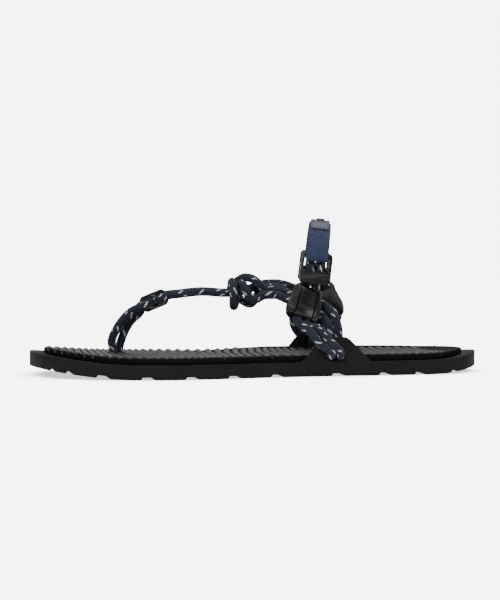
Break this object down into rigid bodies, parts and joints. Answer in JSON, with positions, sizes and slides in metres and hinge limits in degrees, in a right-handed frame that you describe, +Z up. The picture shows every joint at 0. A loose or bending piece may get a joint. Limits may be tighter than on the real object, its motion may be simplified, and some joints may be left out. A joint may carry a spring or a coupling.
{
  "type": "rope sandal",
  "caption": "Left rope sandal: rubber outsole with side tabs, ribbed footbed, navy rope upper with toe post, knot, cord locks and a webbing heel strap.",
  "frame": {"origin": "on the floor under the outsole's flat bottom, at the middle of the sole's length", "axes": "+X towards the heel along the sole, +Y towards the inner side of the foot, +Z up"},
  "size_m": [0.27, 0.0986, 0.0928],
  "materials": {
    "sole_rubber": "matte",
    "footbed_foam": "matte",
    "rope_navy": "matte",
    "webbing_blue": "matte",
    "lining_black": "matte",
    "black_plastic": "satin",
    "frame_plastic": "gloss",
    "patch_navy": "matte"
  },
  "bodies": {
    "root": {"outsole": "sole_rubber", "footbed": "footbed_foam", "toe_cord_outer": "rope_navy", "toe_cord_inner": "rope_navy", "knot": "rope_navy", "side_cord_outer": "rope_navy", "side_cord_inner": "rope_navy", "slider": "black_plastic", "lock_body_outer": "black_plastic", "lock_wedge_outer": "black_plastic", "lock_body_inner": "black_plastic", "lock_wedge_inner": "black_plastic", "strap_frame_outer": "frame_plastic", "strap_frame_inner": "frame_plastic", "heel_strap": "webbing_blue", "strap_lining": "lining_black", "strap_patch": "patch_navy"}
  },
  "joints": []
}
